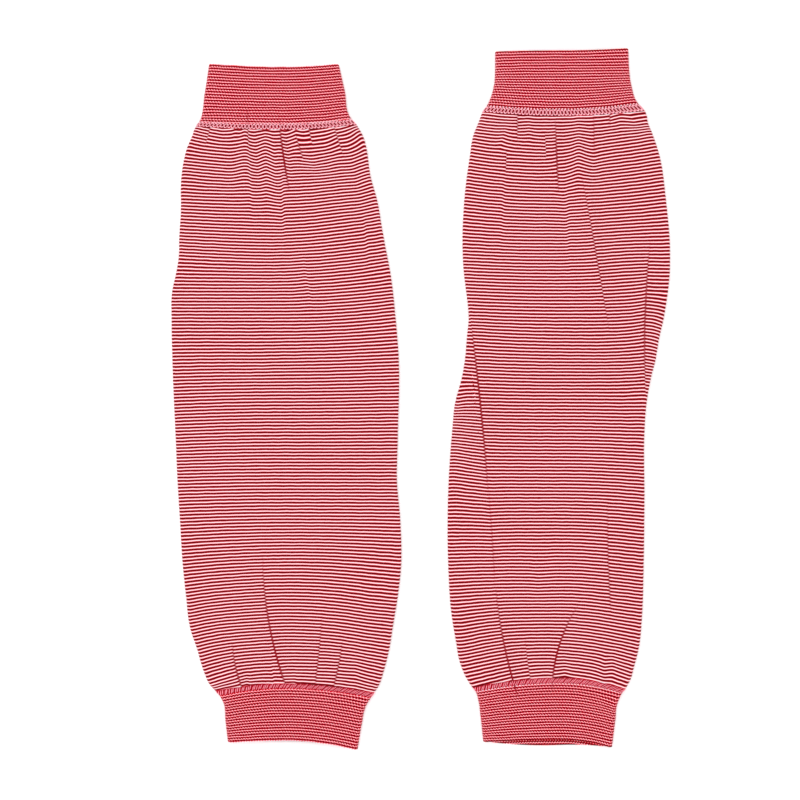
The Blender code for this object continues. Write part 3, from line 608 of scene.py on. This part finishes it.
def striped_knit(name, stripe, pair, wale, aside, wave, slant, hollow, wander, course, depth):
    """Cotton yarn knitted in fine stripes.

    stripe gives the yarns' colours from the middle of a red row, 0, to that of a light one, 1. Its dark red
    is the yarn's own; its bright red next to the pink is painted light, for the lit round sides of the yarn.
    pair is the height of one red and one light row in mm. The wales are wale wide in the knit map, and they
    move aside by aside for each mm up. Each raises the rows by wave at its middle and tips them by slant,
    and the hollow beside it is redder by hollow. wander is how far the rows stray. course is the height of
    one stitch and depth how deep its hollows are.
    """
    material = bpy.data.materials.new(name)
    material.use_nodes = True
    tree = material.node_tree
    shader = tree.nodes["Principled BSDF"]
    knit = add(tree, "ShaderNodeUVMap", uv_map="Knit")
    across, along, _ = add(tree, "ShaderNodeSeparateXYZ", ((0, knit),)).node.outputs

    # A lap cuts the rows cleanly. In its tight the cloth turns under and hardly any light gets in, so a
    # dark red shadow is painted there.
    to_lap, jump, dark = (
        add(tree, "ShaderNodeAttribute", attribute_name=mark).node.outputs["Fac"] for mark in LAP_MARKS
    )
    sharp = add(tree, "ShaderNodeMapRange", enumerate((to_lap, -LAP_CUT, LAP_CUT, 1.0, -1.0)))
    along = add(tree, "ShaderNodeMath", ((0, sharp), (1, jump), (2, along)), operation="MULTIPLY_ADD")
    away = add(tree, "ShaderNodeMath", ((0, to_lap),), operation="ABSOLUTE")
    near = add(
        tree,
        "ShaderNodeMapRange",
        enumerate((away, LAP_TIGHT, LAP_TIGHT_END, 1.0, 0.0)),
        interpolation_type="SMOOTHSTEP",
    )
    tight = add(tree, "ShaderNodeMath", ((0, near), (1, dark)), operation="MULTIPLY")

    # Each wale is a bulge: 0 in the hollow beside it and 1 along its middle. The loops of one row sit a
    # little to the side of those in the row below it.
    stepped = add(tree, "ShaderNodeMath", ((0, along), (1, -aside), (2, across)), operation="MULTIPLY_ADD")
    side = add(tree, "ShaderNodeMath", ((0, stepped), (1, wale / 2)), operation="PINGPONG")
    bulge = add(tree, "ShaderNodeMath", ((0, side), (1, 2 / wale)), operation="MULTIPLY")

    # A row climbs by the slant over each wale, and starts afresh on the next.
    wales = add(tree, "ShaderNodeMath", ((0, across), (1, wale)), operation="DIVIDE")
    way_over = add(tree, "ShaderNodeMath", ((0, wales),), operation="FRACT")
    tipped = add(tree, "ShaderNodeMath", ((0, way_over), (1, -slant), (2, along)), operation="MULTIPLY_ADD")

    # Rows stray a little, as yarn does, in slow waves of some 6 mm.
    stray = add(tree, "ShaderNodeTexNoise", (("Vector", knit), ("Scale", STRAY_WAVES), ("Detail", 2.0)))
    strayed = add(tree, "ShaderNodeMath", ((0, stray), (1, wander), (2, tipped)), operation="MULTIPLY_ADD")
    rows = add(tree, "ShaderNodeMath", ((0, bulge), (1, -wave), (2, strayed)), operation="MULTIPLY_ADD")
    row = add(tree, "ShaderNodeMath", ((0, rows), (1, pair / 2)), operation="PINGPONG")
    lightness = add(tree, "ShaderNodeMath", ((0, row), (1, 2 / pair)), operation="MULTIPLY")

    # Light yarn in a hollow takes up the red of the loops round it.
    beside = add(tree, "ShaderNodeMath", ((0, 1.0), (1, bulge)), operation="SUBTRACT")
    in_hollow = add(tree, "ShaderNodeMath", ((0, beside), (1, HOLLOW_SINK)), operation="POWER")
    tone = add(
        tree, "ShaderNodeMath", ((0, in_hollow), (1, -hollow), (2, lightness)), operation="MULTIPLY_ADD"
    )
    # The ramp's bright red is painted light on the round sides of the red yarn.
    yarn_colour = add(tree, "ShaderNodeValToRGB", (("Fac", tone),))
    stops = yarn_colour.node.color_ramp.elements
    stops.remove(stops[1])
    for i, (place, colour) in enumerate(stripe):
        stop = stops[0] if i == 0 else stops.new(place)
        stop.position = place
        stop.color = linear(colour)

    # The spun yarn is a little uneven in colour, in specks of some 0.6 mm.
    speckle = add(tree, "ShaderNodeTexNoise", (("Vector", knit), ("Scale", SPECKS), ("Detail", 3.0)))
    shade = add(tree, "ShaderNodeMapRange", enumerate((speckle, 0.3, 0.7, *SPECK_LIGHT)))
    uneven = add(
        tree, "ShaderNodeMix", ((0, 1.0), (6, yarn_colour), (7, shade)), data_type="RGBA", blend_type="MULTIPLY"
    ).node.outputs[2]
    # The laps' painted shadow, in dark red, goes over the yarn's colour.
    lap_shadowed = add(
        tree, "ShaderNodeMix", ((0, tight), (6, uneven), (7, linear(LAP_SHADOW_RED))), data_type="RGBA"
    ).node.outputs[2]
    tree.links.new(lap_shadowed, shader.inputs["Base Color"])

    # Stitches: the legs of each loop lean to the middle of their wale.
    lean = add(tree, "ShaderNodeMath", ((0, bulge), (1, course), (2, strayed)), operation="MULTIPLY_ADD")
    leg = add(tree, "ShaderNodeMath", ((0, lean), (1, course / 2)), operation="PINGPONG")
    round_leg = add(
        tree, "ShaderNodeMapRange", ((0, leg), (2, course / 2)), interpolation_type="SMOOTHSTEP"
    )
    stitch = add(
        tree, "ShaderNodeMath", ((0, in_hollow), (1, -1.0), (2, round_leg)), operation="MULTIPLY_ADD"
    )
    bump = add(
        tree, "ShaderNodeBump", (("Strength", KNIT_BUMP), ("Distance", depth * MM), ("Height", stitch))
    )
    tree.links.new(bump, shader.inputs["Normal"])
    shader.inputs["Roughness"].default_value = KNIT_ROUGHNESS
    shader.inputs["Specular IOR Level"].default_value = COTTON_SPECULAR
    shader.inputs["Sheen Weight"].default_value = COTTON_SHEEN
    shader.inputs["Sheen Roughness"].default_value = COTTON_SHEEN_ROUGHNESS
    return material


# Combed cotton single jersey, fine and even: it looks matt, with crisp stripes that its stitches just step.
jersey_knit = striped_knit(
    "striped_cotton_jersey",
    # The bright red stop is painted light: the lit round sides of the red yarn.
    stripe=(
        (0.0, "#620006"),
        (0.3, "#660006"),
        (0.58, "#FF1028"),
        (0.7, "#FFA0B0"),
        (0.8, "#FFF0F6"),
        (1.0, "#FFF6FA"),
    ),
    pair=1.99,
    wale=JERSEY_WALE,
    aside=0.0,
    wave=0.1,
    slant=0.0,
    hollow=0.08,
    wander=0.5,
    course=0.5,
    depth=0.1,
)


def jersey_relief(sleeve, course):
    """How the folds lift the upper layer of a body, less on its inner side."""

    def lift(share, x, y, inset):
        inner = 1 - (1 - INNER_SHARE) * inset / JERSEY_WALL
        _, side, _, shade = row_pull(sleeve, x, y)
        pressed = LAP_GROOVE * shade * np.exp(-((side / LAP_WIDTH) ** 2))
        return (fold_height(sleeve, x, y, course) - pressed) * (1 - np.abs(share) ** SIDE_FADE) * inner

    return lift


def make_body(sleeve):
    """A striped tube, between its two linking rows."""
    turns = in_quarters(JERSEY_COLUMNS, SIDE_COLUMNS, JERSEY_UNDER_COLUMNS, SIDE_COLUMNS)
    start = sleeve.cuts.upper_band - SEAM_GAP / 2
    end = sleeve.cuts.lower_band + SEAM_GAP / 2

    def place(turn, course, inset):
        lift = jersey_relief(sleeve, course)

        def under_lift(share, x, y, inset):
            return UNDER_DEPTH * lift(share, x, y, inset)

        height = 2 * JERSEY_WALL + LAYER_GAP
        return place_cloth(sleeve, turn, course, inset, height, lift, under_lift)

    def knit_map(turn, course, points):
        pull, side, jump, shade = knit_rows(sleeve, turn, points)
        rows = course - pull + jump * np.where(side < 0, -1, 1)
        return np.interp(turn, range(5), JERSEY_AROUND), rows, side, jump, shade

    name = sleeve.name + "_jersey"
    piece = make_cloth(
        name, turns, start, end, JERSEY_WALL, JERSEY_ROWS, JERSEY_INNER_ROWS, place, knit_map
    )
    piece.data.materials.append(jersey_knit)
    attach(piece, "root")
    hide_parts(sleeve.name + "_body")
    return piece


bodies = {sleeve.name: make_body(sleeve) for sleeve in (LEFT_SLEEVE, RIGHT_SLEEVE)}


# ---- Ribbed cuffs ------------------------------------------------------------
# The snug ends of each sleeve, knitted in 1x1 rib from the same yarns, one red course to one white. The
# ribs stand up as cords side by side, and the stretch of the rib pulls its rows into tight zigzags.

# The rib's wall, how far its cords stand up, the width of one rib and how many go round each side.
RIB_WALL = 1.5
RIB_RISE = 0.4
WALE_PITCH = 1.7
SIDE_RIBS = 3
RIB_COLUMNS = 6
CUFF_ROWS = 24
CUFF_INNER_ROWS = 8

# How far the upper layer lifts at a mouth.
MOUTH_GAPE = 0.9
MOUTH_FADE = 4

# Cotton 1x1 rib: as matt as the jersey, and redder in the hollows between its cords. Its map counts ribs.
rib_knit = striped_knit(
    "striped_cotton_rib",
    # The bright red stops are painted light: the lit round sides of the red yarn.
    stripe=(
        (0.0, "#5C0008"),
        (0.34, "#640008"),
        (0.48, "#FF0024"),
        (0.78, "#FF183C"),
        (0.87, "#FFECF8"),
        (1.0, "#FFF6FF"),
    ),
    pair=1.64,
    wale=1.0,
    aside=0.3,
    wave=0.46,
    slant=-0.3,
    hollow=0.12,
    wander=0.7,
    course=0.8,
    depth=0.15,
)


def mouth_lift(sleeve, share, course):
    """The upper layer of a cuff stands a little open at its mouth."""
    from_mouth = np.minimum(sleeve.cuts.top - course, course - sleeve.cuts.bottom)
    open_share = np.exp(-np.maximum(from_mouth, 0) / MOUTH_LENGTH)
    return MOUTH_GAPE * (1 - np.abs(share) ** MOUTH_FADE) * open_share


def ribs_round(sleeve, start, end):
    """How many ribs a ring has by the ends of its four parts."""
    middle = np.array([(start + end) / 2])
    left_x, _, right_x, _ = section_at(sleeve.sections, middle)
    front = round(float(right_x[0] - left_x[0]) / WALE_PITCH)
    return (0, front, front + SIDE_RIBS, 2 * front + SIDE_RIBS, 2 * front + 2 * SIDE_RIBS)


def make_cuff(sleeve, name, start, end):
    """A ribbed tube between its mouth and a linking row."""
    marks = ribs_round(sleeve, start, end)
    turns = np.interp(np.linspace(0, marks[-1], marks[-1] * RIB_COLUMNS + 1), marks, range(5))

    def place(turn, course, inset):
        outer = 1 - inset / RIB_WALL
        groove = (1 + np.cos(2 * np.pi * np.interp(turn, range(5), marks))) / 2

        def lift(share, x, y, inset):
            cord = RIB_RISE / 2 * outer * (1 - np.abs(share) ** SIDE_FADE)
            return mouth_lift(sleeve, share, course) + cord

        def under_lift(share, x, y, inset):
            return 0.0

        height = 2 * RIB_WALL + LAYER_GAP
        ribbed = inset + RIB_RISE * groove * outer
        return place_cloth(sleeve, turn, course, ribbed, height, lift, under_lift)

    # A lap that runs into a cuff brings its painted shadow with it, but doesn't cut the rows.
    def knit_map(turn, course, points):
        _, side, _, shade = knit_rows(sleeve, turn, points)
        rows = course - back_slip(sleeve, turn, course)
        return np.interp(turn, range(5), marks), rows, side, 0 * course, shade

    piece = make_cloth(
        sleeve.name + "_" + name, turns, start, end, RIB_WALL, CUFF_ROWS, CUFF_INNER_ROWS, place, knit_map
    )
    piece.data.materials.append(rib_knit)
    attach(piece, "root")
    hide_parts(sleeve.name + "_" + name.replace("_rib", "_cuff"))


for sleeve in (LEFT_SLEEVE, RIGHT_SLEEVE):
    cuts = sleeve.cuts
    make_cuff(sleeve, "upper_rib", cuts.top, cuts.upper_cuff + SEAM_GAP / 2)
    make_cuff(sleeve, "lower_rib", cuts.lower_cuff - SEAM_GAP / 2, cuts.bottom)


# ---- Linking rows ------------------------------------------------------------
# Where a cuff meets the body, a row of cotton loops links the two knits stitch by stitch. The upper row is
# a chain of upright oval loops over a red ground. The lower one is finer, with short slanting stitches.
LINKING_WALL = 1.3
LINKING_ROWS = 4
GROUND_SINK = 0.18
GROUND_COLUMNS = 160
GROUND_UNDER_COLUMNS = 80

# The loops are drawn 2.05 mm apart, where real ones are about 1.85 mm, so that each of them shows.
LOOP_PITCH = 2.05
LOOP_WIDTH = 1.9
LOOP_YARN = 0.36
LOOP_SQUARE = 0.5
LOOP_STRAY = 0.1
LOOP_SIDES = 6
LOOP_STEPS = 12

# The stitches are about as far apart as real ones.
STITCH_PITCH = 1.25
STITCH_WIDTH = 0.5
STITCH_LEAN = 2.2
STITCH_LIFT = 0.08
STITCH_STRAY = 0.3

# Stitches stray along the row by this share of how far they stray across it, each in waves of its own.
STRAY_ALONG = 0.2
ALONG_BEAT = 1.7
ACROSS_BEAT = 2.4

# The yarn has 0.9 specks a mm and a fine twist, 0.1 mm deep.
YARN_SPECKS = 900.0
YARN_TWIST = 0.1
YARN_BUMP = 0.4
YARN_ROUGHNESS = 0.85


def link_yarn(name, colour, shade):
    """Plied cotton yarn: matt, and mottled by its twist between its own colour and a darker shade."""
    material = bpy.data.materials.new(name)
    material.use_nodes = True
    tree = material.node_tree
    shader = tree.nodes["Principled BSDF"]
    spot = add(tree, "ShaderNodeTexCoord").node.outputs["Object"]
    speckle = add(tree, "ShaderNodeTexNoise", (("Vector", spot), ("Scale", YARN_SPECKS), ("Detail", 3.0)))
    tone = add(tree, "ShaderNodeMapRange", ((0, speckle), (1, 0.35), (2, 0.65)))
    yarn_colour = add(
        tree, "ShaderNodeMix", ((0, tone), (6, linear(shade)), (7, linear(colour))), data_type="RGBA"
    ).node.outputs[2]
    tree.links.new(yarn_colour, shader.inputs["Base Color"])
    bump = add(
        tree,
        "ShaderNodeBump",
        (("Strength", YARN_BUMP), ("Distance", YARN_TWIST * MM), ("Height", speckle)),
    )
    tree.links.new(bump, shader.inputs["Normal"])
    shader.inputs["Roughness"].default_value = YARN_ROUGHNESS
    shader.inputs["Specular IOR Level"].default_value = COTTON_SPECULAR
    shader.inputs["Sheen Weight"].default_value = COTTON_SHEEN
    return material


# The grounds are the knits' own red edges, deep in the row, and painted darker for the shade there. The
# lower one is painted brighter, as more light gets between its small stitches. The loops are pale pink and
# the stitches a stronger rose.
upper_ground_yarn = link_yarn("red_linking_ground", "#900416", "#720210")
lower_ground_yarn = link_yarn("better_lit_red_linking_ground", "#AE0620", "#900218")
loop_yarn = link_yarn("pink_linking_yarn", "#FFBEC8", "#FF9AAA")
stitch_yarn = link_yarn("rose_linking_yarn", "#FFAABA", "#FF8498")


def on_band(sleeve, turn, course, inset):
    """The points of a linking row's wall, or of the loops on it."""

    def lift(share, x, y, inset):
        return mouth_lift(sleeve, share, course)

    def under_lift(share, x, y, inset):
        return 0.0

    return place_cloth(sleeve, turn, course, inset, 2 * LINKING_WALL + LAYER_GAP, lift, under_lift)


def make_ground(sleeve, name, start, end, yarn):
    """The plain wall that carries the loops."""

    def place(turn, course, inset):
        return on_band(sleeve, turn, course, inset + GROUND_SINK * (1 - inset / LINKING_WALL))

    def knit_map(turn, course, points):
        return np.interp(turn, range(5), JERSEY_AROUND), course, 0 * course, 0 * course, 0 * course

    piece = make_cloth(
        sleeve.name + "_" + name + "_ground",
        in_quarters(GROUND_COLUMNS, SIDE_COLUMNS, GROUND_UNDER_COLUMNS, SIDE_COLUMNS),
        start,
        end,
        LINKING_WALL,
        LINKING_ROWS,
        LINKING_ROWS,
        place,
        knit_map,
    )
    piece.data.materials.append(yarn)
    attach(piece, "root")
    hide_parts(sleeve.name + "_" + name)
    return piece


def make_row(sleeve, name, start, end, stitch, pitch, stray, yarn):
    """One stitch's mesh, repeated round the tube and bent on to it. Each strays a little from its place."""
    middle = (start + end) / 2
    left_x, _, right_x, _ = (value[0] for value in section_at(sleeve.sections, np.array([middle])))
    height = 2 * LINKING_WALL + LAYER_GAP
    front = right_x - left_x - height
    side = math.pi * height / 2
    marks = np.cumsum([0, front, side, front, side])
    count = round(marks[-1] / pitch)
    bm = bmesh.new()
    for i in range(count):
        first = len(bm.verts)
        bm.from_mesh(stitch)
        bm.verts.ensure_lookup_table()
        at = (i + 0.5) * marks[-1] / count + STRAY_ALONG * stray * math.sin(ALONG_BEAT * i)
        up = stray * math.sin(ACROSS_BEAT * i)
        bmesh.ops.translate(bm, verts=bm.verts[first:], vec=(at, up, 0))
    mesh = bpy.data.meshes.new(sleeve.name + "_" + name)
    bm.to_mesh(mesh)
    bm.free()
    flat = np.empty(len(mesh.vertices) * 3, np.float32)
    mesh.vertices.foreach_get("co", flat)
    flat = flat.reshape(-1, 3).astype(float)
    turn = np.interp(flat[:, 0] % marks[-1], marks, range(5))
    points = on_band(sleeve, turn, middle + flat[:, 1], -flat[:, 2])

    # Under the sleeve the yarn is pressed flat.
    points[:, 2] = np.maximum(points[:, 2], 0)
    mesh.vertices.foreach_set("co", (points * MM).astype(np.float32).ravel())
    mesh.update()
    mesh.shade_smooth()
    piece = bpy.data.objects.new(mesh.name, mesh)
    bpy.context.collection.objects.link(piece)
    mesh.materials.append(yarn)
    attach(piece, "root")
    return piece


def oval_loop(height):
    """A ring of yarn, standing upright in the row and squarer at its ends."""
    bm = bmesh.new()
    bmesh.ops.create_circle(bm, segments=LOOP_SIDES, radius=LOOP_YARN / 2)
    bmesh.ops.translate(bm, verts=bm.verts, vec=((LOOP_WIDTH - LOOP_YARN) / 2, 0, 0))
    upright = mathutils.Matrix.Rotation(math.pi / 2, 3, "X")
    bmesh.ops.rotate(bm, verts=bm.verts, cent=(0, 0, 0), matrix=upright)
    bmesh.ops.spin(
        bm,
        geom=bm.verts[:] + bm.edges[:],
        axis=(0, 0, 1),
        cent=(0, 0, 0),
        angle=2 * math.pi,
        steps=LOOP_STEPS,
        use_merge=True,
    )
    bmesh.ops.scale(bm, verts=bm.verts, vec=(1, height / LOOP_WIDTH, 1))
    for vert in bm.verts:
        vert.co.x *= 1 + LOOP_SQUARE * min(1.0, 2 * abs(vert.co.y) / height) ** 2
    bmesh.ops.translate(bm, verts=bm.verts, vec=(0, 0, LOOP_YARN / 4))
    bmesh.ops.recalc_face_normals(bm, faces=bm.faces)
    mesh = bpy.data.meshes.new("oval_loop")
    bm.to_mesh(mesh)
    bm.free()
    return mesh


def slant_stitch(height):
    """A short thick stitch that leans to the right, drawn out from a ball 1 mm across."""
    bm = bmesh.new()
    bmesh.ops.create_uvsphere(bm, u_segments=6, v_segments=5, radius=0.5)
    bmesh.ops.scale(bm, verts=bm.verts, vec=(STITCH_WIDTH, STITCH_WIDTH, height))
    laid_down = mathutils.Matrix.Rotation(-math.pi / 2, 3, "X")
    bmesh.ops.rotate(bm, verts=bm.verts, cent=(0, 0, 0), matrix=laid_down)
    for vert in bm.verts:
        vert.co.x += vert.co.y / height * STITCH_LEAN
    bmesh.ops.translate(bm, verts=bm.verts, vec=(0, 0, STITCH_LIFT))
    bmesh.ops.recalc_face_normals(bm, faces=bm.faces)
    mesh = bpy.data.meshes.new("slant_stitch")
    bm.to_mesh(mesh)
    bm.free()
    return mesh


for sleeve in (LEFT_SLEEVE, RIGHT_SLEEVE):
    cuts = sleeve.cuts
    half_gap = SEAM_GAP / 2
    upper = (cuts.upper_cuff - half_gap, cuts.upper_band + half_gap)
    lower = (cuts.lower_band - half_gap, cuts.lower_cuff + half_gap)
    loop = oval_loop(upper[0] - upper[1])
    stitch = slant_stitch(lower[0] - lower[1])
    trims = [
        make_ground(sleeve, "upper_band", *upper, upper_ground_yarn),
        make_row(sleeve, "upper_loops", *upper, loop, LOOP_PITCH, LOOP_STRAY, loop_yarn),
        make_ground(sleeve, "lower_band", *lower, lower_ground_yarn),
        make_row(sleeve, "lower_stitches", *lower, stitch, STITCH_PITCH, STITCH_STRAY, stitch_yarn),
    ]


# ---- Floor, light and camera -------------------------------------------------
# A plain white table top under the pair. Soft light comes from all round, and a little more from the upper
# left, so that folds are just shaded. The camera looks straight down, as in the photograph.
FLOOR_SIZE = 3000.0
FLOOR_SINK = 0.1
ROOM_LIGHT = 1.24
LAMP_SIZE = 1200.0
LAMP_POWER = 7.0
LAMP_PLACE = (-900.0, 700.0, 1500.0)
CAMERA_PLACE = (-11.7, -0.6, 1303.0)
LENS = 100.0
SENSOR = 36.0

# Matt white paint, very slightly mottled: it shows as an even white ground.
floor_paint = bpy.data.materials.new("white_table_top")
floor_paint.use_nodes = True
tree = floor_paint.node_tree
shader = tree.nodes["Principled BSDF"]
grain = add(tree, "ShaderNodeTexCoord").node.outputs["Object"]
mottle = add(tree, "ShaderNodeTexNoise", (("Vector", grain), ("Scale", 40.0)))
tint = add(
    tree, "ShaderNodeMix", ((0, mottle), (6, linear("#FAFAFA")), (7, linear("#FDFDFD"))), data_type="RGBA"
).node.outputs[2]
tree.links.new(tint, shader.inputs["Base Color"])
shader.inputs["Roughness"].default_value = 0.9
shader.inputs["Specular IOR Level"].default_value = 0.1

bm = bmesh.new()
bmesh.ops.create_grid(bm, x_segments=1, y_segments=1, size=FLOOR_SIZE / 2 * MM)
bmesh.ops.translate(bm, verts=bm.verts, vec=(0, 0, -FLOOR_SINK * MM))
floor_mesh = bpy.data.meshes.new("table_top")
bm.to_mesh(floor_mesh)
bm.free()
floor = bpy.data.objects.new("table_top", floor_mesh)
floor_mesh.materials.append(floor_paint)
bpy.context.collection.objects.link(floor)

world = bpy.data.worlds.new("soft_room")
world.use_nodes = True
world.node_tree.nodes["Background"].inputs["Color"].default_value = (1.0, 1.0, 1.0, 1.0)
world.node_tree.nodes["Background"].inputs["Strength"].default_value = ROOM_LIGHT
bpy.context.scene.world = world

lamp_data = bpy.data.lights.new("soft_box", "AREA")
lamp_data.shape = "SQUARE"
lamp_data.size = LAMP_SIZE * MM
lamp_data.energy = LAMP_POWER
lamp = bpy.data.objects.new("soft_box", lamp_data)
lamp.location = [value * MM for value in LAMP_PLACE]
lamp.rotation_euler = mathutils.Vector(lamp.location).to_track_quat("Z", "Y").to_euler()
bpy.context.collection.objects.link(lamp)

camera_data = bpy.data.cameras.new("camera")
camera_data.lens = LENS
camera_data.sensor_width = SENSOR
camera = bpy.data.objects.new("camera", camera_data)
camera.location = [value * MM for value in CAMERA_PLACE]
bpy.context.collection.objects.link(camera)
bpy.context.scene.camera = camera
bpy.context.scene.view_settings.view_transform = "Standard"
